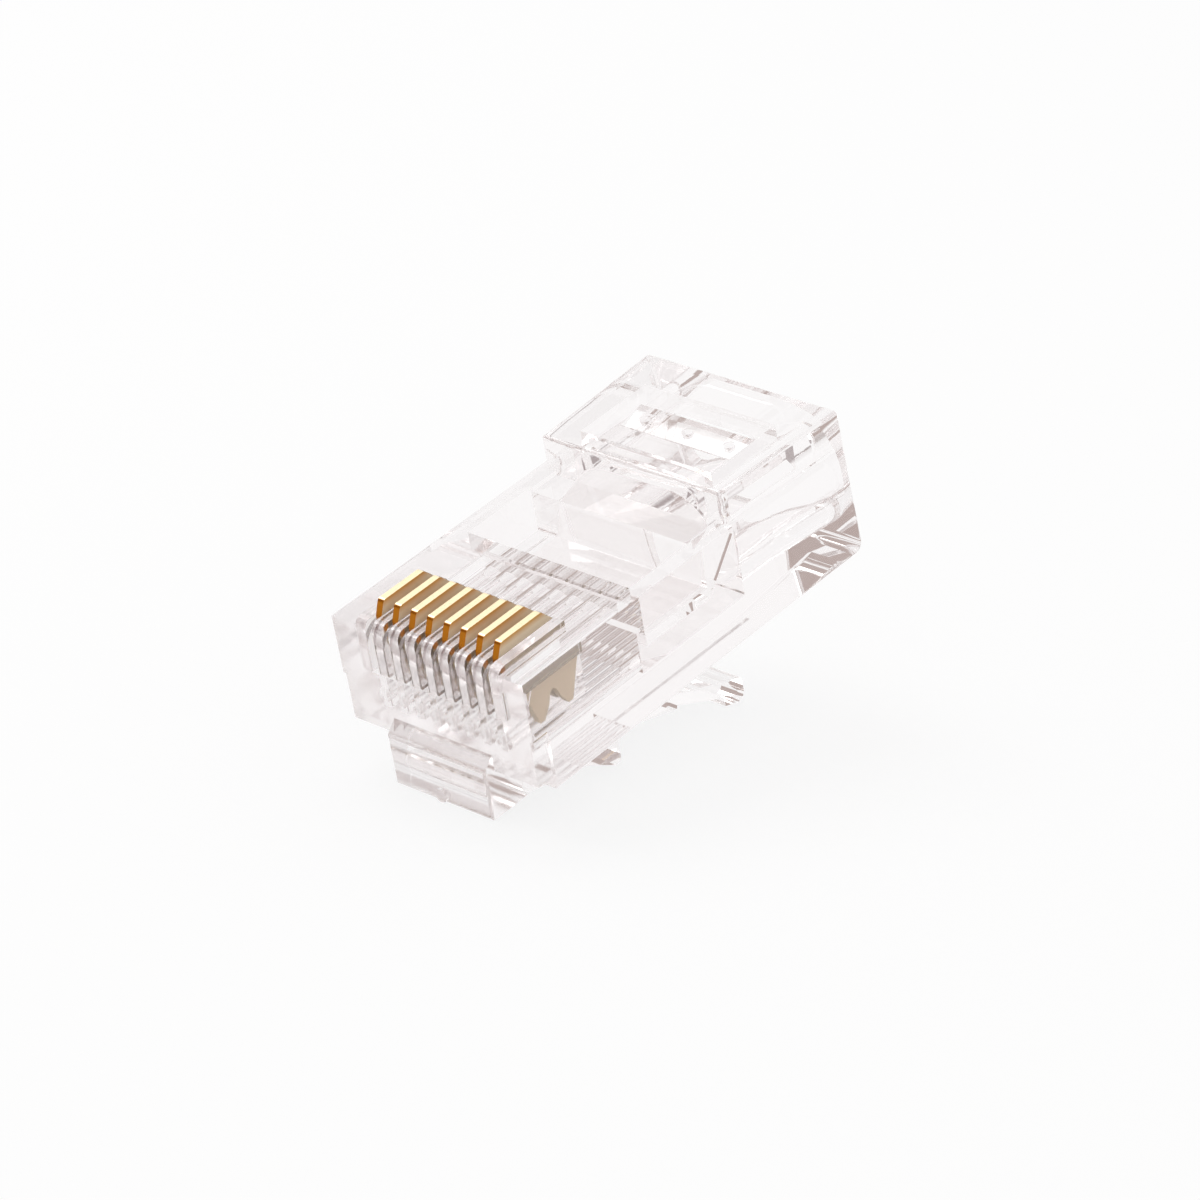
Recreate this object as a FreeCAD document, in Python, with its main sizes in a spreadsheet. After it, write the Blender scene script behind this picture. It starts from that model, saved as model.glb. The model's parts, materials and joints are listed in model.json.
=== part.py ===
"""RJ45 modular plug, 8 positions 8 contacts, before its cable is fitted.

The plug is drawn in its own frame and then laid down as it rests on a table.
In the plug's frame +X runs from the front face towards the cable, +Y runs across
the width and +Z points from the latch side to the contact side, with the origin
at the foot of the front face. At rest the nose and the tail of the latch touch
the table, so the whole plug is pitched about Y by the angle that joins them.
"""
import FreeCAD, Part
import math
import os
import re
import Sketcher

# Driving sizes in millimetres. Each row is alias, value, what it is.
SIZES = [
    ("body_width", 11.68, "width of the housing"),
    ("body_length", 23.2, "front face to cable end, along the foot"),
    ("rear_lean", 0.5, "how far the cable end leans forward at its top"),
    ("front_height", 6.2, "height of the contact block"),
    ("rear_height", 7.95, "height of the cable block"),
    ("block_length", 8.8, "length of the cable block along the foot"),
    ("step_inset", 0.39, "how far the cable block's front face stands in from each side"),
    ("shoulder_length", 7.8, "length of the cable block's tapered sides"),
    ("edge_round", 0.2, "radius of the outer edges"),
    ("foot_round", 0.5, "radius of the lower edge of the cable end"),
    ("lead_length", 1.0, "length of the lead-in at the front corners"),
    ("lead_rise", 0.65, "how far the lead-in lifts the lower front edge"),
    ("lead_inset", 0.17, "how far the lead-in stands in from each side"),
    ("lead_height", 3.1, "top of the lead-in on the sides"),
    ("nose_width", 6.02, "width of the nose and of the latch's locking step"),
    ("nose_reach", 0.65, "how far the nose stands ahead of the front face"),
    ("nose_drop", 1.74, "how far the nose stands below the housing"),
    ("nose_front_top", 0.85, "height of the nose's front edge"),
    ("nose_back_top", 1.5, "height where the nose meets the front face"),
    ("nose_round", 0.15, "radius of the nose's front edges"),
    ("gate_radius", 0.35, "radius of the moulding gate's mark on the nose"),
    ("gate_height", 0.15, "height of that mark"),
    ("gate_rise", 0.45, "height of its middle above the nose's underside"),
    ("hinge_back", 2.05, "place of the latch's flexing root along the plug"),
    ("root_radius", 0.55, "radius of the latch's root"),
    ("joint_gap", 0.05, "clearance round the latch's root"),
    ("tab_width", 3.25, "width of the latch's release tab"),
    ("tab_kink_back", 10.5, "place of the bend in the latch's upper face"),
    ("tab_kink_drop", 2.64, "depth of that bend below the housing"),
    ("tab_end_back", 17.9, "end of the release tab"),
    ("tab_end_drop", 5.6, "depth of the tab's upper face at its end"),
    ("tab_end_lean", 0.15, "how far the tab's end leans back"),
    ("ramp_back", 5.7, "start of the locking step's ramp"),
    ("ramp_drop", 2.62, "depth of the latch's lower face there"),
    ("lock_back", 7.85, "rear face of the locking step"),
    ("lock_drop", 3.7, "depth of the locking step's lower edge"),
    ("lock_flat", 0.4, "blunt length under the locking step's edge"),
    ("web_drop", 2.93, "depth of the tab's lower face at the locking step"),
    ("web_end_back", 13.3, "end of the tab's thicker web"),
    ("web_end_drop", 4.6, "depth of that web's end"),
    ("web_step", 0.15, "how far the tab steps in behind the web"),
    ("heel_back", 16.58, "front of the ridge under the tab's end"),
    ("heel_drop", 5.98, "depth of the tab's lower face at the ridge"),
    ("ridge_height", 0.46, "height of the ridge"),
    ("toe_drop", 6.98, "depth of the ridge's sharp corner before rounding"),
    ("toe_round", 0.45, "rounding of that corner"),
    ("contact_count", 8, "number of contacts"),
    ("contact_pitch", 1.02, "spacing of the contacts"),
    ("contact_thick", 0.36, "thickness of a contact blade"),
    ("contact_top", 7.15, "top edge of a contact before crimping"),
    ("contact_front", 0.8, "front edge of a contact's shoulders"),
    ("contact_back", 4.55, "rear edge of a contact's shoulders"),
    ("crown_front_inset", 0.32, "front slope of a contact's crown"),
    ("crown_back_inset", 0.73, "rear slope of a contact's crown"),
    ("crown_height", 0.75, "height of the crown's slopes"),
    ("crown_round", 0.22, "rounding of the crown's corners"),
    ("tip_height", 2.9, "height of the piercing tips before crimping"),
    ("shoulder_height", 5.0, "lower end of the contact's full width"),
    ("prong_inset", 0.33, "how far a prong's neck stands in from the blade's edge"),
    ("tip_inset", 0.77, "how far a piercing tip stands in from the blade's edge"),
    ("tip_width", 0.3, "blunt width of a piercing tip"),
    ("notch_height", 4.15, "top of the notch between the prongs"),
    ("notch_low", 0.77, "width of the notch halfway down"),
    ("notch_high", 0.44, "width of the notch's flattened top"),
    ("notch_crown", 0.15, "height of the notch's blunt top"),
    ("slot_clearance", 0.04, "clearance on each side of a contact"),
    ("slot_mouth", 0.58, "width of a slot where the jack's wires enter"),
    ("slot_sill", 3.75, "lower end of the slots in the front face"),
    ("slot_shelf", 5.0, "lower end of the slot's wide part"),
    ("comb_width", 8.7, "width of the rounded comb between the slots"),
    ("comb_round", 1.15, "radius of the comb's front edge"),
    ("comb_sink", 0.12, "how far the comb lies below the block's top"),
    ("wire_bore", 1.05, "bore of a wire channel"),
    ("wire_floor", 1.75, "lowest point of the wire channels"),
    ("wire_front", 0.95, "closed front end of the wire channels"),
    ("wire_end", 8.2, "rear end of the wire channels"),
    ("window_start", 8.3, "front wall of the strain-relief window"),
    ("window_width", 9.9, "width of the window"),
    ("window_floor", 3.8, "top of the conductor clamp bar"),
    ("clamp_thick", 0.9, "thickness of the conductor clamp bar"),
    ("clamp_slit", 0.45, "slit between the wire channels and the bar"),
    ("strip_width", 9.7, "width of the sunk strip ahead of the cable block"),
    ("strip_length", 1.7, "length of that strip, from the window to the cable block"),
    ("strip_sink", 0.25, "depth of that strip"),
    ("passage_width", 8.4, "width of the passage under the clamp bar"),
    ("funnel_roof", 5.4, "height of the sloped passage roof at its rear end"),
    ("jacket_length", 7.9, "length of the cable jacket's space"),
    ("jacket_width", 8.9, "width of the jacket's space"),
    ("jacket_roof", 6.85, "roof of the jacket's space"),
    ("flare_length", 5.4, "length of that space's flare"),
    ("mouth_width", 9.2, "width of the cable mouth"),
    ("mouth_floor", 1.15, "lowest point of the cable mouth"),
    ("pocket_setback", 1.2, "cable block's front face to the pocket over the jacket clamp"),
    ("pocket_length", 4.7, "length of that pocket"),
    ("pocket_width", 8.0, "width of that pocket"),
    ("hinge_web", 0.45, "thickness of the jacket clamp's bending web"),
    ("web_length", 2.1, "length of that web, from the pocket's front wall to the bar"),
    ("bar_length", 1.7, "length of the jacket clamp bar along the plug"),
    ("bar_front_top", 7.15, "top of the bar at its front"),
    ("bar_back_top", 7.47, "top of the bar at its rear"),
    ("bar_gap", 0.45, "gap at each end of the bar"),
    ("pip_count", 3, "number of small round pips on the bar"),
    ("pip_spacing", 2.55, "spacing of the pips"),
    ("pip_radius", 0.28, "radius of a pip"),
    ("pip_height", 0.1, "height of a pip"),
    ("cut_past", 1.0, "how far a cut runs out past the outside of the plug"),
    ("cut_into", 0.1, "how far one cut runs into the next"),
]

# Places that follow from those sizes. What belongs to the cable end is measured from it.
STEP = "(body_length - block_length)"
WINDOW_END = f"({STEP} - strip_length)"
JACKET_FRONT = "(body_length - jacket_length)"
POCKET_FRONT = f"({STEP} + pocket_setback)"
POCKET_END = f"({POCKET_FRONT} + pocket_length)"
BAR_FRONT = f"({POCKET_FRONT} + web_length)"
BAR_END = f"({BAR_FRONT} + bar_length)"

WHOLE = "Symmetric"  # a pad or pocket that grows equally to both sides of its sketch
SAME = 0.01  # places closer than this, in millimetres, are the same place
ROUGH = 10  # radius of the regular polygon that each outline starts as
ARC_POINTS = 24  # points read along each edge to find the lowest

doc = FreeCAD.newDocument("ModularPlug")
sheet = doc.addObject("Spreadsheet::Sheet", "Sizes")
for row, (alias, value, words) in enumerate(SIZES, start=1):
    sheet.set(f"A{row}", words)
    sheet.set(f"B{row}", str(value))
    sheet.setAlias(f"B{row}", alias)
doc.recompute()


def linked(expression):
    """An expression in plain aliases, with each alias pointed at the sheet."""
    return re.sub(r"\b[a-z]+(?:_[a-z]+)+\b", lambda word: "Sizes." + word.group(), str(expression))


def size(expression):
    """The number that an expression in plain aliases stands for."""
    return float(sheet.evalExpression(linked(expression)))


# ---- sketches -----------------------------------------------------------------

def origin_feature(body, role):
    """An origin plane or axis of a body, such as XZ_Plane or Y_Axis."""
    return next(f for f in body.Origin.OriginFeatures if f.Role == role)


def new_sketch(body, name, plane, lift="0"):
    """An empty sketch on one of the body's origin planes, lifted along the plane's normal."""
    sketch = body.newObject("Sketcher::SketchObject", name)
    sketch.AttachmentSupport = [(origin_feature(body, plane), "")]
    sketch.MapMode = "FlatFace"
    sketch.setExpression("AttachmentOffset.Base.z", linked(lift))
    return sketch


def drive(sketch, kind, *target, value, expression):
    """Add a dimension to a sketch and tie it to an expression."""
    number = sketch.addConstraint(Sketcher.Constraint(kind, *target, value))
    sketch.setExpression(f"Constraints[{number}]", linked(expression))


def drive_point(sketch, line, end, across, up, place):
    """Tie both coordinates of a point to expressions. place is where the point lies now."""
    drive(sketch, "DistanceX", line, end, value=place[0], expression=across)
    drive(sketch, "DistanceY", line, end, value=place[1], expression=up)


def outline(body, name, plane, corners, lift="0"):
    """A closed outline of straight lines. corners holds (across, up) expressions.

    It is first drawn as a regular polygon, and its dimensions then pull every
    corner to its own place.
    """
    sketch = new_sketch(body, name, plane, lift)
    count = len(corners)
    turn = 2 * math.pi / count
    spots = [(ROUGH * math.cos(i * turn), ROUGH * math.sin(i * turn)) for i in range(count)]
    for i in range(count):
        start = FreeCAD.Vector(*spots[i], 0)
        end = FreeCAD.Vector(*spots[(i + 1) % count], 0)
        sketch.addGeometry(Part.LineSegment(start, end), False)
    for i in range(count):
        sketch.addConstraint(Sketcher.Constraint("Coincident", i, 2, (i + 1) % count, 1))
    for i, (across, up) in enumerate(corners):
        drive_point(sketch, i, 1, across, up, spots[i])
    return sketch


def disc(body, name, plane, across, up, radius, lift="0"):
    """A sketch of one circle."""
    sketch = new_sketch(body, name, plane, lift)
    rough = Part.Circle(FreeCAD.Vector(ROUGH, ROUGH, 0), FreeCAD.Vector(0, 0, 1), ROUGH)
    sketch.addGeometry(rough, False)
    drive_point(sketch, 0, 3, across, up, (ROUGH, ROUGH))
    drive(sketch, "Radius", 0, value=ROUGH, expression=radius)
    return sketch


def stadium(body, name, width, floor, roof, lift):
    """A round-ended slot across the plug, between a floor and a roof, on a plane across X."""
    sketch = new_sketch(body, name, "YZ_Plane", lift)
    normal = FreeCAD.Vector(0, 0, 1)
    right = FreeCAD.Vector(ROUGH, ROUGH, 0)
    left = FreeCAD.Vector(-ROUGH, ROUGH, 0)
    rise = FreeCAD.Vector(0, ROUGH, 0)
    quarter = math.pi / 2
    sketch.addGeometry(Part.ArcOfCircle(Part.Circle(right, normal, ROUGH), -quarter, quarter), False)
    sketch.addGeometry(Part.ArcOfCircle(Part.Circle(left, normal, ROUGH), quarter, 3 * quarter), False)
    sketch.addGeometry(Part.LineSegment(right + rise, left + rise), False)
    sketch.addGeometry(Part.LineSegment(left - rise, right - rise), False)
    for joint in ((0, 2, 2, 1), (2, 2, 1, 1), (1, 2, 3, 1), (3, 2, 0, 1)):
        sketch.addConstraint(Sketcher.Constraint("Tangent", *joint))
    sketch.addConstraint(Sketcher.Constraint("Equal", 0, 1))
    middle = f"({roof} + {floor}) / 2"
    radius = f"({roof} - {floor}) / 2"
    drive_point(sketch, 0, 3, f"{width} / 2 - {radius}", middle, (ROUGH, ROUGH))
    drive_point(sketch, 1, 3, f"{radius} - {width} / 2", middle, (-ROUGH, ROUGH))
    drive(sketch, "Radius", 0, value=ROUGH, expression=radius)
    return sketch


# ---- features -----------------------------------------------------------------

def extrude(body, kind, name, sketch, length, side="One side", backwards=False):
    """A Pad or a Pocket of a sketch."""
    feature = body.newObject(f"PartDesign::{kind}", name)
    feature.Profile = sketch
    feature.SideType = side
    feature.Reversed = backwards
    feature.setExpression("Length", linked(length))
    return feature


def cut(body, name, sketch, length, side="One side", backwards=False):
    """A Pocket that must take material away."""
    doc.recompute()
    before = body.Tip.Shape.Volume
    pocket = extrude(body, "Pocket", name, sketch, length, side, backwards)
    doc.recompute()
    if pocket.Shape.Volume >= before:
        raise RuntimeError(f"{name} cuts nothing")
    return pocket


def repeat(body, name, originals, role, spacing, count):
    """A row of features, spaced towards the negative end of an origin axis."""
    pattern = body.newObject("PartDesign::LinearPattern", name)
    pattern.Originals = originals
    pattern.Direction = (origin_feature(body, role), [""])
    pattern.Reversed = True
    pattern.Mode = "Extent"
    pattern.setExpression("Length", linked(f"{spacing} * ({count} - 1)"))
    pattern.setExpression("Occurrences", linked(count))
    body.Tip = pattern
    return pattern


def loft_cut(body, name, sections):
    """A pocket that runs straight from each section to the next and must take material away."""
    doc.recompute()
    before = body.Tip.Shape.Volume
    loft = body.newObject("PartDesign::SubtractiveLoft", name)
    loft.Profile = sections[0]
    loft.Sections = sections[1:]
    loft.Ruled = True
    doc.recompute()
    if loft.Shape.Volume >= before:
        raise RuntimeError(f"{name} cuts nothing")
    return loft


def edges_where(feature, test):
    """Names of the straight edges whose two ends pass a test."""
    names = []
    for number, edge in enumerate(feature.Shape.Edges, start=1):
        ends = [vertex.Point for vertex in edge.Vertexes]
        straight = not edge.Degenerated and edge.Curve.TypeId == "Part::GeomLine"
        if straight and len(ends) == 2 and test(*ends):
            names.append(f"Edge{number}")
    return names


def round_edges(body, name, radius, test):
    """A fillet on the edges of the body's last feature that pass a test."""
    doc.recompute()
    base = body.Tip
    names = edges_where(base, test)
    if not names:
        raise RuntimeError(f"{name} finds no edge")
    fillet = body.newObject("PartDesign::Fillet", name)
    fillet.Base = (base, names)
    fillet.setExpression("Radius", linked(radius))
    return fillet


def near(one, other):
    """Whether two coordinates are the same place."""
    return abs(one - other) < SAME


# ---- housing ------------------------------------------------------------------

def add_block(body):
    """The outer block: leaning cable end, tapered shoulders and lead-in corners."""
    profile = outline(body, "BlockProfile", "XZ_Plane", [
        ("0", "lead_rise"),
        ("lead_length", "lead_rise"),
        ("lead_length", "0"),
        ("body_length", "0"),
        ("body_length - rear_lean", "rear_height"),
        (STEP, "rear_height"),
        (STEP, "front_height"),
        ("0", "front_height"),
    ])
    extrude(body, "Pad", "Block", profile, "body_width", WHOLE)
    round_edges(body, "CableFoot", "foot_round",
                lambda *ends: along("y", ends, x="body_length", z="0"))
    for name, side in (("Left", 1), ("Right", -1)):
        shoulder = outline(body, f"{name}ShoulderProfile", "XY_Plane", [
            (f"{STEP} - cut_past", f"{side} * (body_width / 2 - step_inset)"),
            (STEP, f"{side} * (body_width / 2 - step_inset)"),
            (f"{STEP} + shoulder_length", f"{side} * body_width / 2"),
            (f"{STEP} + shoulder_length", f"{side} * (body_width / 2 + cut_past)"),
            (f"{STEP} - cut_past", f"{side} * (body_width / 2 + cut_past)"),
        ], lift="front_height")
        cut(body, f"{name}Shoulder", shoulder, "rear_height", backwards=True)
        corner = outline(body, f"{name}LeadProfile", "XY_Plane", [
            ("-cut_past", f"{side} * (body_width / 2 - lead_inset)"),
            ("lead_length", f"{side} * (body_width / 2 - lead_inset)"),
            ("lead_length", f"{side} * (body_width / 2 + cut_past)"),
            ("-cut_past", f"{side} * (body_width / 2 + cut_past)"),
        ])
        cut(body, f"{name}Lead", corner, "lead_height", backwards=True)


def along(axis, ends, **level):
    """Whether an edge leads along an axis, and both its ends are at a level such as z="0"."""
    start, end = ends
    leads = not near(getattr(start, axis), getattr(end, axis))
    return leads and all(near(getattr(p, side), size(place)) for p in ends
                         for side, place in level.items())


def outer_edge(start, end):
    """Whether an edge bounds the foot, the contact block's top, or the cable block."""
    ends = (start, end)
    outside = min(abs(p.y) for p in ends) > size("body_width / 2 - step_inset") - SAME
    long_one = abs(start.x - end.x) > size("lead_length") + SAME
    upright = near(start.y, end.y) and along("z", ends)
    ahead = max(p.x for p in ends) < size(STEP) + SAME
    behind = min(p.x for p in ends) > size("body_length - rear_lean") - SAME
    return outside and any([
        long_one and along("x", ends, z="0"),
        long_one and ahead and along("x", ends, z="front_height"),
        long_one and along("x", ends, z="rear_height"),
        along("y", ends, z="rear_height"),
        upright and along("z", ends, x=STEP),
        upright and behind,
    ])


def nose_edge(start, end):
    """Whether an edge bounds the nose's front face at its sides or its foot."""
    ends = (start, end)
    at_foot = along("y", ends, x="-nose_reach", z="-nose_drop")
    return at_foot or along("z", ends, x="-nose_reach")


def add_nose(body):
    """The nose under the front face, which carries the latch's root in a rounded seat."""
    profile = outline(body, "NoseProfile", "XZ_Plane", [
        ("-nose_reach", "-nose_drop"),
        ("hinge_back", "-nose_drop"),
        ("hinge_back", "nose_back_top"),
        ("0", "nose_back_top"),
        ("-nose_reach", "nose_front_top"),
    ])
    extrude(body, "Pad", "Nose", profile, "nose_width", WHOLE)
    round_edges(body, "NoseEdges", "nose_round", nose_edge)
    gate = disc(body, "GateProfile", "YZ_Plane", "0", "gate_rise - nose_drop", "gate_radius",
                lift="-nose_reach")
    extrude(body, "Pad", "Gate", gate, "gate_height", backwards=True)
    seat = disc(body, "LatchSeatProfile", "XZ_Plane", "hinge_back", "root_radius - nose_drop",
                "root_radius + joint_gap")
    cut(body, "LatchSeat", seat, "nose_width + cut_past", WHOLE)


def comb_profile(body):
    """The space over the comb: a shallow step down behind a front edge rounded by an arc."""
    sketch = new_sketch(body, "CombProfile", "XZ_Plane")
    top = "front_height - comb_sink"
    corners = [
        ("comb_round", top),
        ("0", f"{top} - comb_round"),
        ("-cut_past", f"{top} - comb_round"),
        ("-cut_past", "front_height + cut_past"),
        ("contact_back + slot_clearance", "front_height + cut_past"),
        ("contact_back + slot_clearance", top),
    ]
    spots = [(ROUGH, ROUGH), (0, 0), (-ROUGH, 0), (-ROUGH, 2 * ROUGH), (2 * ROUGH, 2 * ROUGH),
             (2 * ROUGH, ROUGH)]
    rough = Part.Circle(FreeCAD.Vector(ROUGH, 0, 0), FreeCAD.Vector(0, 0, 1), ROUGH)
    sketch.addGeometry(Part.ArcOfCircle(rough, math.pi / 2, math.pi), False)
    for start, end in zip(spots[1:], spots[2:] + spots[:1]):
        sketch.addGeometry(Part.LineSegment(FreeCAD.Vector(*start, 0), FreeCAD.Vector(*end, 0)), False)
    for i, (across, up) in enumerate(corners):
        sketch.addConstraint(Sketcher.Constraint("Coincident", i, 2, (i + 1) % len(corners), 1))
        drive_point(sketch, i, 1, across, up, spots[i])
    drive(sketch, "Radius", 0, value=ROUGH, expression="comb_round")
    return sketch


def add_contact_slots(body):
    """The comb at the front: a slot, a guide well and a wire channel for each contact."""
    cut(body, "Comb", comb_profile(body), "comb_width", WHOLE)

    first = "-contact_pitch * (contact_count - 1) / 2"
    mouth = outline(body, "SlotMouthProfile", "XZ_Plane", [
        ("-cut_past", "slot_sill"),
        ("contact_front - slot_clearance", "slot_sill"),
        ("contact_front + comb_round / 2", "slot_shelf"),
        ("contact_back + slot_clearance", "slot_shelf"),
        ("contact_back + slot_clearance", "front_height + cut_past"),
        ("-cut_past", "front_height + cut_past"),
    ], lift=first)
    slot = cut(body, "SlotMouth", mouth, "slot_mouth", WHOLE)
    well_profile = outline(body, "WellProfile", "XZ_Plane", [
        ("contact_front - slot_clearance", "wire_floor"),
        ("contact_back + slot_clearance", "wire_floor"),
        ("contact_back + slot_clearance", "front_height + cut_past"),
        ("contact_front - slot_clearance", "front_height + cut_past"),
    ], lift=first)
    well = cut(body, "Well", well_profile, "contact_thick + 2 * slot_clearance", WHOLE)
    bore = disc(body, "WireChannelProfile", "YZ_Plane", "contact_pitch * (contact_count - 1) / 2",
                "wire_floor + wire_bore / 2", "wire_bore / 2", lift="wire_front")
    channel = cut(body, "WireChannel", bore, "wire_end - wire_front", backwards=True)
    repeat(body, "ContactRow", [slot, well, channel], "Y_Axis", "contact_pitch", "contact_count")


def add_conductor_clamp(body):
    """The window over the conductors, its clamp bar and the passage below it."""
    window = outline(body, "WindowProfile", "XZ_Plane", [
        ("window_start", "window_floor"),
        (WINDOW_END, "window_floor"),
        (WINDOW_END, "front_height + cut_past"),
        ("window_start", "front_height + cut_past"),
    ])
    cut(body, "Window", window, "window_width", WHOLE)
    strip = outline(body, "StripProfile", "XZ_Plane", [
        (f"{WINDOW_END} - cut_into", "front_height - strip_sink"),
        (STEP, "front_height - strip_sink"),
        (STEP, "front_height + strip_sink"),
        (f"{WINDOW_END} - cut_into", "front_height + strip_sink"),
    ])
    cut(body, "Strip", strip, "strip_width", WHOLE)
    passage = outline(body, "PassageProfile", "XZ_Plane", [
        ("wire_end - cut_into", "wire_floor"),
        (f"{JACKET_FRONT} + cut_into", "wire_floor"),
        (f"{JACKET_FRONT} + cut_into", "funnel_roof"),
        (f"{WINDOW_END} + hinge_web", "window_floor - clamp_thick"),
        ("wire_end + clamp_slit", "window_floor - clamp_thick"),
        ("wire_end + clamp_slit", "window_floor + cut_into"),
        ("wire_end - cut_into", "window_floor + cut_into"),
    ])
    cut(body, "Passage", passage, "passage_width", WHOLE)


def add_jacket_clamp(body):
    """The jacket's space with its flared mouth, and the clamp bar in the roof pocket."""
    flare = "body_length - flare_length"
    loft_cut(body, "JacketSpace", [
        stadium(body, "JacketFront", "jacket_width", "wire_floor", "jacket_roof", JACKET_FRONT),
        stadium(body, "FlareStart", "jacket_width", "wire_floor", "jacket_roof", flare),
        stadium(body, "CableMouth", "mouth_width", "mouth_floor", "jacket_roof", "body_length"),
    ])
    pocket = outline(body, "ClampPocketProfile", "XZ_Plane", [
        (POCKET_FRONT, "jacket_roof + hinge_web"),
        (BAR_FRONT, "jacket_roof + hinge_web"),
        (BAR_FRONT, "bar_front_top"),
        (BAR_END, "bar_back_top"),
        (BAR_END, "jacket_roof - cut_into"),
        (POCKET_END, "jacket_roof - cut_into"),
        (POCKET_END, "rear_height + cut_past"),
        (POCKET_FRONT, "rear_height + cut_past"),
    ])
    cut(body, "ClampPocket", pocket, "pocket_width", WHOLE)
    for name, side in (("Left", 1), ("Right", -1)):
        slit = outline(body, f"{name}BarSlitProfile", "XZ_Plane", [
            (POCKET_FRONT, "jacket_roof - cut_past"),
            (POCKET_END, "jacket_roof - cut_past"),
            (POCKET_END, "rear_height"),
            (POCKET_FRONT, "rear_height"),
        ], lift=f"{side} * (pocket_width / 2 - bar_gap / 2)")
        cut(body, f"{name}BarSlit", slit, "bar_gap", WHOLE)
    pip = disc(body, "PipProfile", "XY_Plane", f"({BAR_FRONT} + {BAR_END}) / 2",
               "pip_spacing * (pip_count - 1) / 2", "pip_radius", lift="bar_front_top")
    raised = extrude(body, "Pad", "Pip", pip, "(bar_back_top - bar_front_top) / 2 + pip_height")
    repeat(body, "PipRow", [raised], "Y_Axis", "pip_spacing", "pip_count")


def make_housing():
    """The one-piece clear moulding, apart from its flexing latch."""
    body = doc.addObject("PartDesign::Body", "housing")
    body.Label = "housing"
    add_block(body)
    round_edges(body, "OuterEdges", "edge_round", outer_edge)
    add_nose(body)
    doc.recompute()
    add_contact_slots(body)
    add_conductor_clamp(body)
    add_jacket_clamp(body)
    return body


# ---- latch --------------------------------------------------------------------

def make_latch():
    """The latch lever: root, locking step and release tab with a ridge under its end."""
    body = doc.addObject("PartDesign::Body", "latch")
    body.Label = "latch"
    root = disc(body, "RootProfile", "XZ_Plane", "hinge_back", "root_radius - nose_drop",
                "root_radius")
    extrude(body, "Pad", "Root", root, "nose_width", WHOLE)
    top_slope = "((tab_kink_drop - nose_drop + 2 * root_radius) / (tab_kink_back - hinge_back))"
    lever = outline(body, "LeverProfile", "XZ_Plane", [
        ("hinge_back", "2 * root_radius - nose_drop"),
        ("hinge_back", "-nose_drop"),
        ("ramp_back", "-ramp_drop"),
        ("lock_back - lock_flat", "-lock_drop"),
        ("lock_back", "-lock_drop"),
        ("lock_back", f"-tab_kink_drop + {top_slope} * (tab_kink_back - lock_back)"),
    ])
    extrude(body, "Pad", "Lever", lever, "nose_width", WHOLE)
    tab = outline(body, "TabProfile", "XZ_Plane", [
        ("ramp_back", f"-tab_kink_drop + {top_slope} * (tab_kink_back - ramp_back)"),
        ("ramp_back", "-ramp_drop"),
        ("lock_back", "-web_drop"),
        ("web_end_back", "-web_end_drop"),
        ("web_end_back + web_step / 2", "web_step - web_end_drop"),
        ("heel_back", "-heel_drop"),
        ("heel_back", "-heel_drop - ridge_height"),
        ("tab_end_back + tab_end_lean", "-toe_drop"),
        ("tab_end_back", "-tab_end_drop"),
        ("tab_kink_back", "-tab_kink_drop"),
    ])
    extrude(body, "Pad", "Tab", tab, "tab_width", WHOLE)
    toe_back = size("tab_end_back") + size("tab_end_lean")
    round_edges(body, "Toe", "toe_round",
                lambda start, end: all(near(p.x, toe_back) and near(p.z, -size("toe_drop"))
                                       for p in (start, end)))
    return body


# ---- contacts -----------------------------------------------------------------

def make_contact(number):
    """A stamped blade with a rounded crown, two piercing prongs and a notch between them."""
    body = doc.addObject("PartDesign::Body", f"contact_{number}")
    body.Label = f"contact_{number}"
    middle = "(contact_front + contact_back) / 2"
    blade = outline(body, "BladeProfile", "XZ_Plane", [
        ("contact_front + crown_front_inset", "contact_top"),
        ("contact_front", "contact_top - crown_height"),
        ("contact_front", "shoulder_height"),
        ("contact_front + prong_inset", "notch_height"),
        ("contact_front + tip_inset", "tip_height"),
        ("contact_front + tip_inset + tip_width", "tip_height"),
        (f"{middle} - notch_low / 2", "(notch_height + tip_height) / 2"),
        (f"{middle} - notch_high / 2", "notch_height - notch_crown"),
        (middle, "notch_height"),
        (f"{middle} + notch_high / 2", "notch_height - notch_crown"),
        (f"{middle} + notch_low / 2", "(notch_height + tip_height) / 2"),
        ("contact_back - tip_inset - tip_width", "tip_height"),
        ("contact_back - tip_inset", "tip_height"),
        ("contact_back - prong_inset", "notch_height"),
        ("contact_back", "shoulder_height"),
        ("contact_back", "contact_top - crown_height"),
        ("contact_back - crown_back_inset", "contact_top"),
    ])
    extrude(body, "Pad", "Blade", blade, "contact_thick", WHOLE)
    round_edges(body, "Crown", "crown_round",
                lambda start, end: near(start.z, size("contact_top"))
                and near(start.x, end.x) and near(start.z, end.z))
    return body


# ---- the plug as it rests -----------------------------------------------------

def rest_placement(solids):
    """Where the plug's frame lies when the nose and the latch's tail touch the table.

    The origin of the resting plug is the middle of its box, at table level.
    """
    pitch = FreeCAD.Rotation(FreeCAD.Vector(0, 1, 0), 0)
    settled_after = 12
    for _ in range(settled_after):
        nose, tail = (lowest_point(solid, pitch) for solid in solids)
        slope = math.atan2(nose.z - tail.z, tail.x - nose.x)
        pitch = FreeCAD.Rotation(FreeCAD.Vector(0, 1, 0), -math.degrees(slope))
    box = FreeCAD.BoundBox()
    for solid in solids:
        turned = solid.Shape.copy()
        turned.Placement = FreeCAD.Placement(FreeCAD.Vector(), pitch).multiply(turned.Placement)
        box.add(turned.optimalBoundingBox(False))
    shift = FreeCAD.Vector(-box.Center.x, -box.Center.y, -box.ZMin)
    return FreeCAD.Placement(shift, pitch)


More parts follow.
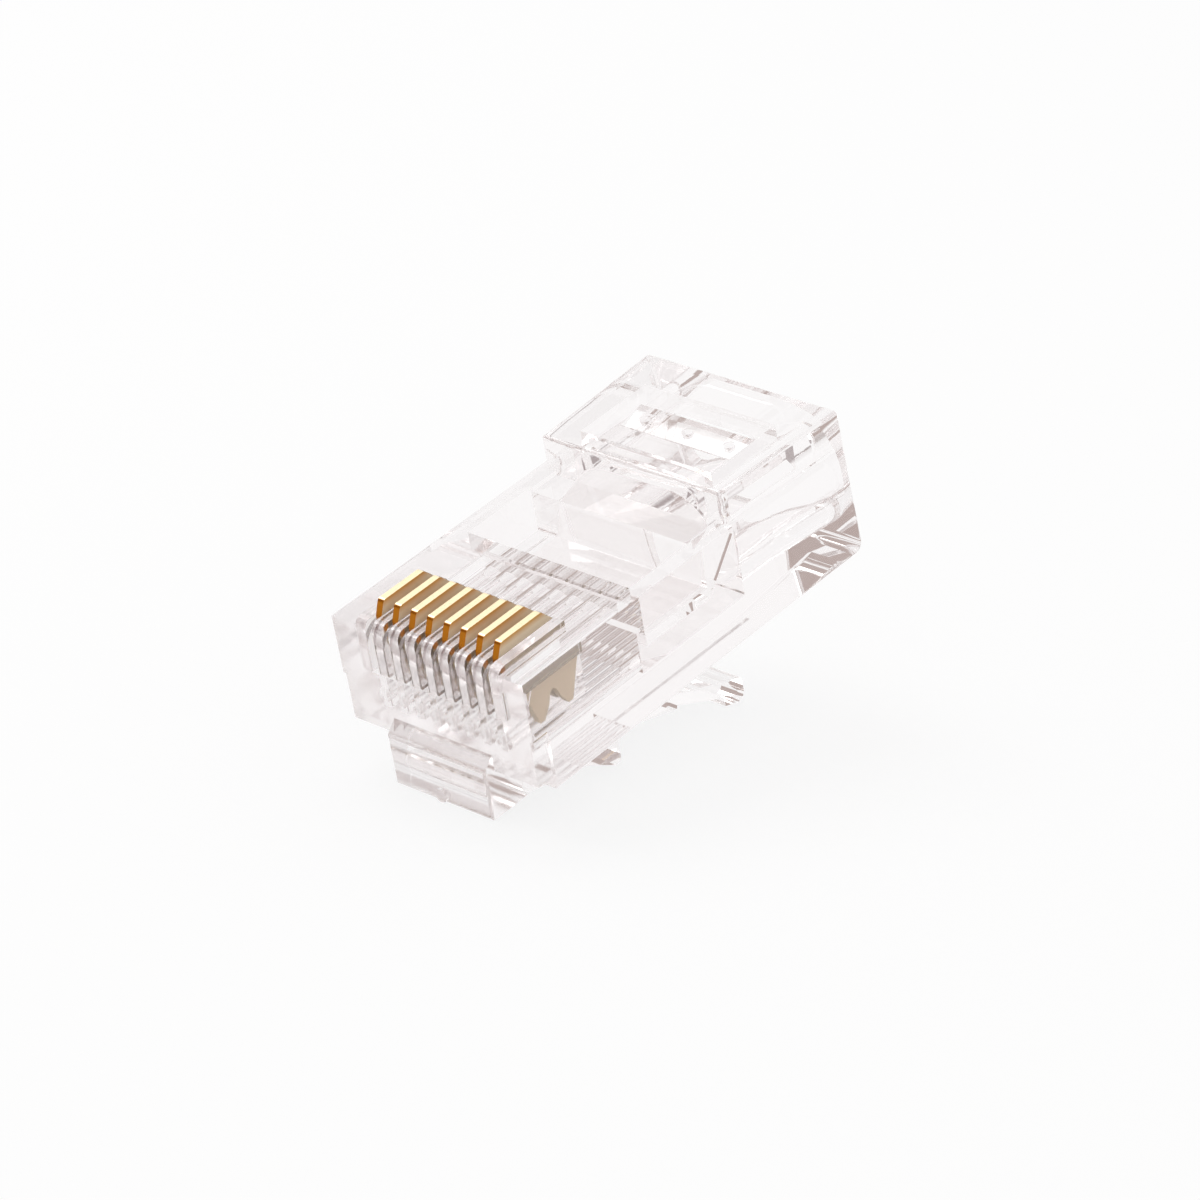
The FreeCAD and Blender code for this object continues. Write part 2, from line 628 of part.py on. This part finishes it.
def lowest_point(solid, rotation):
    """The point of a solid's edges that is lowest once the solid is turned."""
    edges = [edge for edge in solid.Shape.Edges if not edge.Degenerated]
    points = [p for edge in edges for p in edge.discretize(Number=ARC_POINTS)]
    return min(points, key=lambda p: rotation.multVec(p).z)


def main():
    """Build every piece, lay the plug down, check it and write one STEP file a piece."""
    housing = make_housing()
    latch = make_latch()
    contacts = [make_contact(number + 1) for number in range(int(size("contact_count")))]
    doc.recompute()

    rest = rest_placement([housing, latch])
    housing.Placement = rest
    latch.Placement = rest
    first = -size("contact_pitch") * (len(contacts) - 1) / 2
    for number, contact in enumerate(contacts):
        place = FreeCAD.Vector(0, first + number * size("contact_pitch"), 0)
        contact.Placement = rest.multiply(FreeCAD.Placement(place, FreeCAD.Rotation()))
    doc.recompute()

    for item in doc.Objects:
        if "Invalid" in item.State or "Error" in item.State:
            raise RuntimeError(f"{item.Name} failed: {item.State}")
    os.makedirs("parts", exist_ok=True)
    for piece in [housing, latch] + contacts:
        shape = piece.Shape
        if shape.isNull() or not shape.isValid() or len(shape.Solids) != 1:
            raise RuntimeError(f"{piece.Label} is not one sound solid")
        shape.exportStep(f"parts/{piece.Label}.step")
        print(f"{piece.Label}: {shape.Volume:.3f} mm3")


main()
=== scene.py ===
"""Looks of an 8-position modular plug: clear moulded plastic round gold-plated contacts."""
import json
import math

import bmesh
import bpy
from bpy.props import FloatProperty, FloatVectorProperty, PointerProperty
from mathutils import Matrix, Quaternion, Vector


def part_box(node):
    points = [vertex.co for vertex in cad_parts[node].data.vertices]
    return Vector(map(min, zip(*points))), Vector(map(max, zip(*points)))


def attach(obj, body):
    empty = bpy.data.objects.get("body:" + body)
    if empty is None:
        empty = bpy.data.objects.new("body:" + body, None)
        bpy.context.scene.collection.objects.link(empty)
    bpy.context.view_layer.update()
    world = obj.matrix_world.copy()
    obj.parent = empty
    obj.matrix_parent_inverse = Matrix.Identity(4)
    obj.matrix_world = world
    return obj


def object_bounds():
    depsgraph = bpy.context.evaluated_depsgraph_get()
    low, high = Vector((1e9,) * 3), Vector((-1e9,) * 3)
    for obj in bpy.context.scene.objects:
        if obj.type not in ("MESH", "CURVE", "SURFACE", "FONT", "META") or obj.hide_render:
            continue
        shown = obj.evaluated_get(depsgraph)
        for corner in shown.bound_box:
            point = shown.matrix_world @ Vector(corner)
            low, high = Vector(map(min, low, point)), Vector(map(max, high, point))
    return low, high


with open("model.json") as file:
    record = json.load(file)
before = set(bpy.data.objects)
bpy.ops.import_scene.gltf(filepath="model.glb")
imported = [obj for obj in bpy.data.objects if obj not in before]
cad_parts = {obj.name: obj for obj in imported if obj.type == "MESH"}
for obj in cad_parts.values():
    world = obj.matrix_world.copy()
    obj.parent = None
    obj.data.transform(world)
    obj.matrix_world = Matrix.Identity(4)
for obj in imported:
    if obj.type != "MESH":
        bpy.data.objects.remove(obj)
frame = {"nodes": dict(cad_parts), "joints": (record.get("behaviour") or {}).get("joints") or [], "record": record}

CAD_BOX = [list(corner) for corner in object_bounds()]

bl_info = {
    "name": "Modular plug",
    "version": (1, 0, 0),
    "blender": (4, 5, 0),
    "location": "3D View > Sidebar > Plug",
    "description": "Finishes a clear modular plug and sets it on a white studio floor",
    "category": "Object",
}

NODES = frame["nodes"]
CONTACTS = sorted(name for name in NODES if name.startswith("contact_"))
LOW, HIGH = (Vector(corner) for corner in CAD_BOX)
MM = 0.001

POLYCARBONATE_IOR = 1.585
RIPPLE_STRENGTH = 0.25
DRAG_STRENGTH = 0.3
DRAG_LENGTH = (1, 1, 0.12)  # drag lines run down a blade, eight times as long as they are wide
FRONT_SHADE_FACING = (0.5, 0.8)   # how squarely a face looks forward: from where its painted shade starts, to full
SIDE_FACING = (0.6, 0.9)    # how squarely a face looks sideways: from where it is a flat, to full
CLEAR_BOUNCES = 128     # a ray crosses many faces of clear plastic before it leaves the plug
SENSOR_MM = 36.0

# The plug's own directions: from the contact end to the cable end, and up out of its roof.
ENTRY = next(mount for mount in frame["record"]["mounts"] if mount["name"] == "jack_entry")
ALONG = -Vector(ENTRY["axis"])
UP = -Vector(next(joint for joint in frame["joints"] if joint["child"] == CONTACTS[0])["axis"])
FRONT = Vector(ENTRY["pos_m"]) @ ALONG
BLADE_TOP = max(corner.co @ UP for corner in NODES[CONTACTS[0]].data.vertices)
BLADE_BACK = max(corner.co @ ALONG for corner in NODES[CONTACTS[0]].data.vertices)


def linear(code):
    """An sRGB hex colour as linear red, green, blue and full alpha."""
    values = [int(code[i:i + 2], 16) / 255 for i in (1, 3, 5)]
    return [v / 12.92 if v <= 0.04045 else ((v + 0.055) / 1.055) ** 2.4 for v in values] + [1.0]


def colour_property(name, description, code):
    """A colour that a user can change, with a hex default."""
    return FloatVectorProperty(name=name, description=description, subtype="COLOR", size=4,
                               min=0.0, max=1.0, default=linear(code))


# ---- what a user would change -------------------------------------------------

class PLUG_PG_finish(bpy.types.PropertyGroup):
    """Colours and surface sizes of the plug."""
    plastic_colour: colour_property("Plastic", "Tint of the clear plastic", "#FCFAFA")
    depth_colour: colour_property("Depth tint", "What light turns to deep in the plastic", "#E8DBDA")
    depth_density: FloatProperty(name="Depth density", default=9.0, min=0.0,
                                 description="How much light a metre of plastic takes")
    ridge_width: FloatProperty(name="Ridge width", default=0.6 * MM, unit="LENGTH",
                               description="Width of the comb's ridges between the blades")
    ridge_sink: FloatProperty(name="Ridge depth", default=0.66 * MM, unit="LENGTH",
                              description="How far the ridges' tops lie below the blades' edges")
    ridge_round: FloatProperty(name="Ridge round", default=0.5 * MM, unit="LENGTH",
                               description="Rounding of a ridge's front corner")
    ridge_inset: FloatProperty(name="Ridge inset", default=0.02 * MM, unit="LENGTH",
                               description="How far the ridges' fronts stand in from the front face")
    ridge_height: FloatProperty(name="Ridge height", default=1.4 * MM, unit="LENGTH",
                                description="Height of the ridges' bars behind the front face")
    column_depth: FloatProperty(name="Column depth", default=0.75 * MM, unit="LENGTH",
                                description="Back of the ridges' columns, from the front face")
    column_height: FloatProperty(name="Column height", default=2.7 * MM, unit="LENGTH",
                                 description="Height of the ridges' columns down the front face")
    ripple: FloatProperty(name="Ripple", default=1.6 * MM, unit="LENGTH",
                          description="Length of the slow ripple that moulding leaves")
    ripple_height: FloatProperty(name="Ripple height", default=0.004 * MM, unit="LENGTH",
                                 description="Height of that ripple")
    matt_end: FloatProperty(name="Matt end", default=1.0 * MM, unit="LENGTH",
                            description="How far back from the front face the spark-eroded finish is full")
    polish_start: FloatProperty(name="Polish start", default=3.2 * MM, unit="LENGTH",
                                description="How far back from the front face the polish is full")
    body_matt: FloatProperty(name="Body matt", default=0.12, min=0.0, max=1.0,
                             description="Roughness of the housing's front, from the spark-eroded insert")
    ridge_matt: FloatProperty(name="Ridge matt", default=0.1, min=0.0, max=1.0,
                              description="Roughness of the comb's ridges, from the same insert")
    polish: FloatProperty(name="Polish", default=0.02, min=0.0, max=1.0,
                          description="Roughness of the polished plastic")
    # Gold: real gold plating on the mating edges, paled nearly to white as a painted highlight.
    gold_and_highlight_colour: colour_property("Gold", "Plating on the blades' mating edges", "#FFEDC6")
    # Blade rim: a deeper orange band on the flats just under each blade's edge, which is painted shade of the
    # blade's side.
    rim_shade_colour: colour_property("Blade rim", "Plating that rolls over an edge onto a blade's flats", "#E3A95A")
    flash_colour: colour_property("Flash", "Thin gold flash over nickel on flats and low down", "#FFE7C8")
    # Blade front: a deeper orange that paints the shade on the blades' forward faces.
    front_shade_colour: colour_property("Blade front", "Thick plating that pools on the blades' fronts", "#B36E1C")
    plating_depth: FloatProperty(name="Plating depth", default=1.5 * MM, unit="LENGTH",
                                 description="How far the gold comes down from a blade's mating edge")
    plating_blur: FloatProperty(name="Plating blur", default=0.1 * MM, unit="LENGTH",
                                description="How far the gold fades out above and below its lower end")
    rim_depth: FloatProperty(name="Rim depth", default=0.35 * MM, unit="LENGTH",
                             description="How far the rim's colour comes down a blade's flats")
    rim_full: FloatProperty(name="Rim full", default=0.05 * MM, unit="LENGTH",
                            description="Where the rim's colour is full, below a blade's edge")
    gold_roughness: FloatProperty(name="Gold roughness", default=0.22, min=0.0, max=1.0,
                                  description="Roughness of the bright gold")
    flash_roughness: FloatProperty(name="Flash roughness", default=0.5, min=0.0, max=1.0,
                                   description="Roughness of the flats and of what lies low down")
    flash_metal: FloatProperty(name="Flash metal", default=0.2, min=0.0, max=1.0,
                               description="How metallic the dull flats look next to the bright gold")
    grain_roughness: FloatProperty(name="Grain roughness", default=0.14, min=0.0, max=1.0,
                                   description="What the drag lines add to the roughness")
    stamp_grain: FloatProperty(name="Stamping grain", default=0.12 * MM, unit="LENGTH",
                               description="Spacing of the drag lines on a stamped blade")
    stamp_height: FloatProperty(name="Stamping height", default=0.006 * MM, unit="LENGTH",
                                description="Height of those drag lines")


class PLUG_PG_stage(bpy.types.PropertyGroup):
    """Floor, light and camera."""
    floor_colour: colour_property("Floor", "Colour of the studio floor", "#F4F3F3")
    floor_lift: FloatProperty(name="Floor lift", default=0.85, min=0.0, max=1.0,
                              description="How far the floor is lifted to white where it is seen directly")
    floor_size: FloatProperty(name="Floor size", default=2.0, unit="LENGTH",
                              description="Side of the square floor")
    key_power: FloatProperty(name="Key light", default=0.65, description="Power of the key lamp, in watts")
    key_size: FloatProperty(name="Key size", default=0.3, unit="LENGTH",
                            description="Side of the square key lamp")
    key_place: FloatVectorProperty(name="Key place", default=(-0.05, 0.22, 0.38), subtype="TRANSLATION",
                                   description="Where the key lamp hangs, high on the left and behind")
    world_level: FloatProperty(name="Room light", default=0.74,
                               description="Level of the even light from all round")
    lens: FloatProperty(name="Lens", default=137.8, description="Focal length in millimetres")
    aim: FloatVectorProperty(name="Aim", subtype="TRANSLATION",
                             default=(-0.42 * MM, -0.22 * MM, -0.58 * MM),
                             description="Where the camera looks, from the middle of the plug's box")
    distance: FloatProperty(name="Distance", default=212.35 * MM, unit="LENGTH",
                            description="From the camera to the point that it looks at")
    azimuth: FloatProperty(name="Azimuth", default=math.radians(49.22), unit="ROTATION",
                           description="Turn of the camera round the plug")
    elevation: FloatProperty(name="Elevation", default=math.radians(21.01), unit="ROTATION",
                             description="Height of the camera above the horizon")
    roll: FloatProperty(name="Roll", default=math.radians(2.08), unit="ROTATION",
                        description="Tilt of the camera about its own line of sight")


# ---- materials ----------------------------------------------------------------

def add_node(tree, kind, settings=None, links=None):
    """Add a node. settings are its sockets' values or its own fields, links are input: socket."""
    node = tree.nodes.new(kind)
    for key, value in (settings or {}).items():
        if isinstance(key, str) and hasattr(node, key):
            setattr(node, key, value)
        else:
            node.inputs[key].default_value = value
    for key, source in (links or {}).items():
        tree.links.new(source, node.inputs[key])
    return node


def new_material(name):
    """An empty node material and its output node."""
    material = bpy.data.materials.new(name)
    material.use_nodes = True
    material.node_tree.nodes.clear()
    return material, material.node_tree


def above(tree, source, direction, low, high):
    """0 to 1 as a vector's length along a direction goes from low to high."""
    along = add_node(tree, "ShaderNodeVectorMath", {"operation": "DOT_PRODUCT", 1: direction}, {0: source})
    return add_node(tree, "ShaderNodeMapRange", {"From Min": low, "From Max": high},
                    {"Value": along.outputs["Value"]}).outputs[0]


def clear_polycarbonate(finish, name, matt):
    """Clear polycarbonate, injection moulded.

    From a polished tool it is glass-clear, with a faint warm cast where it is deep, a wet
    gloss and slow ripples from the flow of the melt. The contact end comes from a spark-eroded
    insert, which leaves it a little milky and fades to polished further back: matt is its
    roughness there.
    """
    material, tree = new_material(name)
    place = add_node(tree, "ShaderNodeTexCoord").outputs["Object"]
    ripple = add_node(tree, "ShaderNodeTexNoise", {"Scale": 1 / finish.ripple, "Detail": 1.5},
                      {"Vector": place})
    bump = add_node(tree, "ShaderNodeBump", {"Strength": RIPPLE_STRENGTH, "Distance": finish.ripple_height},
                    {"Height": ripple.outputs["Fac"]})
    polished = above(tree, place, ALONG, FRONT + finish.matt_end, FRONT + finish.polish_start)
    rough = add_node(tree, "ShaderNodeMapRange", {"To Min": matt, "To Max": finish.polish},
                     {"Value": polished})
    shader = add_node(tree, "ShaderNodeBsdfPrincipled", {
        "Base Color": finish.plastic_colour,
        "IOR": POLYCARBONATE_IOR,
        "Transmission Weight": 1.0,
    }, {"Normal": bump.outputs["Normal"], "Roughness": rough.outputs[0]})
    depth = add_node(tree, "ShaderNodeVolumeAbsorption",
                     {"Color": finish.depth_colour, "Density": finish.depth_density})
    add_node(tree, "ShaderNodeOutputMaterial", {},
             {"Surface": shader.outputs[0], "Volume": depth.outputs[0]})
    return material


def plated_gold(finish):
    """Selective gold plating on a stamped phosphor-bronze blade.

    Bright gold covers only the mating end, down to a soft line. Where it does not face
    forward it is paled nearly to white, which paints the highlight of the lit edge. Its fronts
    are a deeper orange, which is painted shade. The sheared flats and all that is lower carry
    a pale flash of gold over nickel, and are duller; a band of deeper orange on the flats just
    under the edge is painted shade of the blade's side. The stamping die leaves fine drag lines
    down the blade.
    """
    material, tree = new_material("Gold plating on stamped bronze")
    coordinate = add_node(tree, "ShaderNodeTexCoord")
    place, normal = coordinate.outputs["Object"], coordinate.outputs["Normal"]
    stretch = add_node(tree, "ShaderNodeMapping", {"Scale": DRAG_LENGTH}, {"Vector": place})
    grain = add_node(tree, "ShaderNodeTexNoise", {"Scale": 1 / finish.stamp_grain, "Detail": 2.0},
                     {"Vector": stretch.outputs[0]})
    bump = add_node(tree, "ShaderNodeBump", {"Strength": DRAG_STRENGTH, "Distance": finish.stamp_height},
                    {"Height": grain.outputs["Fac"]})
    # The blades' forward-facing faces, which get the painted shade of the blade front colour.
    front = above(tree, normal, (-1, 0, 0), *FRONT_SHADE_FACING)
    line = BLADE_TOP - finish.plating_depth
    plated = above(tree, place, UP, line - finish.plating_blur, line + finish.plating_blur)
    # Mating-edge gold, paled as a painted highlight, with painted shade on the faces that look forward.
    edge = add_node(tree, "ShaderNodeMix",
                    {"data_type": "RGBA", 6: finish.gold_and_highlight_colour, 7: finish.front_shade_colour}, {0: front})
    left, right = (above(tree, normal, (0, side, 0), *SIDE_FACING) for side in (1, -1))
    flat = add_node(tree, "ShaderNodeMath", {"operation": "MAXIMUM"}, {0: left, 1: right})
    gold = add_node(tree, "ShaderNodeMath", {"operation": "SUBTRACT", "use_clamp": True},
                    {0: plated, 1: flat.outputs[0]})
    # A band on the flats just under each blade's edge, where the blade rim colour paints the shade of the side.
    rim = above(tree, place, UP, BLADE_TOP - finish.rim_depth, BLADE_TOP - finish.rim_full)
    low = add_node(tree, "ShaderNodeMix",
                   {"data_type": "RGBA", 6: finish.flash_colour, 7: finish.rim_shade_colour}, {0: rim})
    colour = add_node(tree, "ShaderNodeMix", {"data_type": "RGBA"},
                      {0: gold.outputs[0], 6: low.outputs[2], 7: edge.outputs[2]})
    metal = add_node(tree, "ShaderNodeMapRange", {"To Min": finish.flash_metal, "To Max": 1.0},
                     {"Value": gold.outputs[0]})
    dull = add_node(tree, "ShaderNodeMapRange",
                    {"To Min": finish.flash_roughness, "To Max": finish.gold_roughness},
                    {"Value": gold.outputs[0]})
    sheen = add_node(tree, "ShaderNodeMath", {"operation": "MULTIPLY_ADD", 1: finish.grain_roughness},
                     {0: grain.outputs["Fac"], 2: dull.outputs[0]})
    shader = add_node(tree, "ShaderNodeBsdfPrincipled", {},
                      {"Base Color": colour.outputs[2], "Normal": bump.outputs["Normal"],
                       "Metallic": metal.outputs[0], "Roughness": sheen.outputs[0]})
    add_node(tree, "ShaderNodeOutputMaterial", {}, {"Surface": shader.outputs[0]})
    return material


def studio_floor(stage):
    """White paper sweep: matt under the lamps, and nearly plain white where it is seen directly."""
    material, tree = new_material("White paper floor")
    paper = add_node(tree, "ShaderNodeBsdfDiffuse", {"Color": stage.floor_colour})
    glow = add_node(tree, "ShaderNodeEmission", {"Strength": 1.0})
    lift = add_node(tree, "ShaderNodeMath", {"operation": "MULTIPLY", 1: stage.floor_lift},
                    {0: seen_directly(tree)})
    seen = add_node(tree, "ShaderNodeMixShader", {},
                    {0: lift.outputs[0], 1: paper.outputs[0], 2: glow.outputs[0]})
    add_node(tree, "ShaderNodeOutputMaterial", {}, {"Surface": seen.outputs[0]})
    return material


def seen_directly(tree):
    """1 for rays that show the background: those of the camera, of gloss and of clear plastic."""
    path = add_node(tree, "ShaderNodeLightPath")
    mirror = add_node(tree, "ShaderNodeMath", {"operation": "MAXIMUM"},
                      {0: path.outputs["Is Camera Ray"], 1: path.outputs["Is Glossy Ray"]})
    either = add_node(tree, "ShaderNodeMath", {"operation": "MAXIMUM"},
                      {0: mirror.outputs[0], 1: path.outputs["Is Transmission Ray"]})
    return either.outputs[0]


# The dim sides of the studio, which draw the edges of clear plastic as a photographer's
# dark cards do: azimuth and elevation of the middle, half the width, all in degrees, and colour.
DIM_SIDES = (
    (138, 20, 30, "#B2A09A"),     # the unlit room on the left
    (-165, 14, 24, "#C4BCBA"),    # the camera and its stand
    (-36, 55, 14, "#A59A9A"),     # a lamp's stand, high on the right
    (36, 74, 12, "#B5ACAD"),      # the boom overhead
)
DIM_START, DIM_FULL = 1.15, 0.85  # where a dim side starts and is full, in half widths


def light_the_room(stage):
    """An even soft room, white where the camera sees it, with dim sides in plastic and gloss.

    The dim sides are kept from scattered light, so that they darken no pale surface.
    """
    world = bpy.data.worlds.new("Soft white room")
    bpy.context.scene.world = world
    world.use_nodes = True
    tree = world.node_tree
    tree.nodes.clear()
    toward = add_node(tree, "ShaderNodeTexCoord").outputs["Generated"]
    path = add_node(tree, "ShaderNodeLightPath")
    colour = None
    for azimuth, elevation, half_width, code in DIM_SIDES:
        turn, lift, half = (math.radians(angle) for angle in (azimuth, elevation, half_width))
        middle = (math.cos(turn) * math.cos(lift), math.sin(turn) * math.cos(lift), math.sin(lift))
        near = add_node(tree, "ShaderNodeVectorMath", {"operation": "DOT_PRODUCT", 1: middle}, {0: toward})
        cover = add_node(tree, "ShaderNodeMapRange",
                         {"From Min": math.cos(half * DIM_START), "From Max": math.cos(half * DIM_FULL)},
                         {"Value": near.outputs["Value"]})
        shade = add_node(tree, "ShaderNodeMix", {"data_type": "RGBA", 6: (1, 1, 1, 1), 7: linear(code)},
                         {0: cover.outputs[0], **({6: colour} if colour else {})})
        colour = shade.outputs[2]
    plain = add_node(tree, "ShaderNodeMath", {"operation": "MAXIMUM"},
                     {0: path.outputs["Is Camera Ray"], 1: path.outputs["Is Diffuse Ray"]})
    seen = add_node(tree, "ShaderNodeMix", {"data_type": "RGBA", 7: (1, 1, 1, 1)},
                    {0: plain.outputs[0], 6: colour})
    level = add_node(tree, "ShaderNodeMapRange", {"To Min": stage.world_level, "To Max": 1.0},
                     {"Value": seen_directly(tree)})
    room = add_node(tree, "ShaderNodeBackground", {},
                    {"Color": seen.outputs[2], "Strength": level.outputs[0]})
    add_node(tree, "ShaderNodeOutputWorld", {}, {"Surface": room.outputs[0]})


# ---- pieces -------------------------------------------------------------------

def dress(name, material):
    """Give a node of the plug its finish."""
    node = NODES[name]
    node.data.materials.clear()
    node.data.materials.append(material)


class PLUG_OT_housing(bpy.types.Operator):
    """Finish the housing and its latch, which are one clear moulding"""
    bl_idname = "plug.housing"
    bl_label = "Housing and latch"

    def execute(self, context):
        finish = context.scene.plug_finish
        plastic = clear_polycarbonate(finish, "Clear moulded polycarbonate", finish.body_matt)
        for name in ("housing", "latch"):
            dress(name, plastic)
        return {"FINISHED"}


class PLUG_OT_ridges(bpy.types.Operator):
    """Make the raised ridges of the comb, which stand between the blades with rounded fronts"""
    bl_idname = "plug.ridges"
    bl_label = "Comb ridges"

    def execute(self, context):
        finish = context.scene.plug_finish
        middles = sorted((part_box(name)[0][1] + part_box(name)[1][1]) / 2 for name in CONTACTS)
        pitch = (middles[-1] - middles[0]) / (len(middles) - 1)
        shape = bmesh.new()
        for number in range(len(middles) + 1):
            self.add_ridge(shape, middles[0] + (number - 0.5) * pitch, finish)
        bmesh.ops.recalc_face_normals(shape, faces=shape.faces)
        mesh = bpy.data.meshes.new("comb_ridges")
        shape.to_mesh(mesh)
        shape.free()
        ridges = bpy.data.objects.new("comb_ridges", mesh)
        context.scene.collection.objects.link(ridges)
        matt = clear_polycarbonate(finish, "Spark-textured polycarbonate", finish.ridge_matt)
        mesh.materials.append(matt)
        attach(ridges, "housing")
        return {"FINISHED"}

    def add_ridge(self, shape, middle, finish):
        """One ridge: a long bar, and a column down the front face at its end."""
        front, column, back = FRONT + finish.ridge_inset, FRONT + finish.column_depth, BLADE_BACK
        top = BLADE_TOP - finish.ridge_sink
        shelf, foot = top - finish.ridge_height, top - finish.column_height
        outline = ((front, top), (front, foot), (column, foot), (column, shelf), (back, shelf), (back, top))
        side = Vector((0.0, middle - finish.ridge_width / 2, 0.0))
        points = [shape.verts.new(ALONG * along + UP * up + side) for along, up in outline]
        bar = bmesh.ops.extrude_face_region(shape, geom=[shape.faces.new(points)])["geom"]
        far = [item for item in bar if isinstance(item, bmesh.types.BMVert)]
        bmesh.ops.translate(shape, vec=(0.0, finish.ridge_width, 0.0), verts=far)
        corner = min(far, key=lambda item: (item.co - points[0].co).length)
        edge = shape.edges.get((points[0], corner))
        bmesh.ops.bevel(shape, geom=[edge], offset=finish.ridge_round, affect="EDGES", segments=6,
                        profile=0.5, material=-1)


class PLUG_OT_contacts(bpy.types.Operator):
    """Finish the row of contact blades"""
    bl_idname = "plug.contacts"
    bl_label = "Contacts"

    def execute(self, context):
        gold = plated_gold(context.scene.plug_finish)
        for name in CONTACTS:
            dress(name, gold)
        return {"FINISHED"}


class PLUG_OT_stage(bpy.types.Operator):
    """Make the floor, the light and the camera"""
    bl_idname = "plug.stage"
    bl_label = "Stage"

    def execute(self, context):
        stage = context.scene.plug_stage
        bpy.ops.mesh.primitive_plane_add(size=stage.floor_size)
        floor = context.object
        floor.name = "studio_floor"
        floor.data.materials.append(studio_floor(stage))
        light_the_room(stage)
        self.add_key(context, stage)
        self.add_camera(context, stage)
        return {"FINISHED"}

    def add_key(self, context, stage):
        """A soft square lamp that points at the plug."""
        data = bpy.data.lights.new("key", "AREA")
        data.energy = stage.key_power
        data.size = stage.key_size
        lamp = bpy.data.objects.new("key", data)
        lamp.location = stage.key_place
        lamp.rotation_mode = "QUATERNION"
        lamp.rotation_quaternion = (-lamp.location).to_track_quat("-Z", "Y")
        context.scene.collection.objects.link(lamp)

    def add_camera(self, context, stage):
        """The camera looks down on the contact end from the front left."""
        data = bpy.data.cameras.new("camera")
        data.lens = stage.lens
        data.sensor_width = SENSOR_MM
        data.clip_start = 0.01
        camera = bpy.data.objects.new("camera", data)
        target = Vector((0.0, 0.0, (LOW.z + HIGH.z) / 2)) + Vector(stage.aim)
        level = math.cos(stage.elevation)
        back = Vector((-math.sin(stage.azimuth) * level, -math.cos(stage.azimuth) * level,
                       math.sin(stage.elevation)))
        camera.location = target + back * stage.distance
        camera.rotation_mode = "QUATERNION"
        camera.rotation_quaternion = (-back).to_track_quat("-Z", "Y") @ Quaternion((0, 0, 1), stage.roll)
        context.scene.collection.objects.link(camera)
        context.scene.camera = camera


class PLUG_PT_panel(bpy.types.Panel):
    """Lists the plug's pieces and sizes"""
    bl_idname = "PLUG_PT_panel"
    bl_label = "Modular plug"
    bl_space_type = "VIEW_3D"
    bl_region_type = "UI"
    bl_category = "Plug"

    def draw(self, context):
        for operator in OPERATORS:
            self.layout.operator(operator.bl_idname)
        for group in (context.scene.plug_finish, context.scene.plug_stage):
            for name in group.__annotations__:
                self.layout.prop(group, name)


OPERATORS = (PLUG_OT_housing, PLUG_OT_ridges, PLUG_OT_contacts, PLUG_OT_stage)
CLASSES = (PLUG_PG_finish, PLUG_PG_stage) + OPERATORS + (PLUG_PT_panel,)


def register():
    for item in CLASSES:
        bpy.utils.register_class(item)
    bpy.types.Scene.plug_finish = PointerProperty(type=PLUG_PG_finish)
    bpy.types.Scene.plug_stage = PointerProperty(type=PLUG_PG_stage)


def unregister():
    del bpy.types.Scene.plug_stage
    del bpy.types.Scene.plug_finish
    for item in reversed(CLASSES):
        bpy.utils.unregister_class(item)


def main():
    """Make every piece in order."""
    register()
    bpy.ops.plug.housing()
    bpy.ops.plug.ridges()
    bpy.ops.plug.contacts()
    bpy.ops.plug.stage()

    scene = bpy.context.scene
    scene.view_settings.view_transform = "Standard"
    scene.cycles.max_bounces = CLEAR_BOUNCES
    scene.cycles.transmission_bounces = CLEAR_BOUNCES
    scene.cycles.glossy_bounces = CLEAR_BOUNCES


if __name__ == "__main__":
    main()
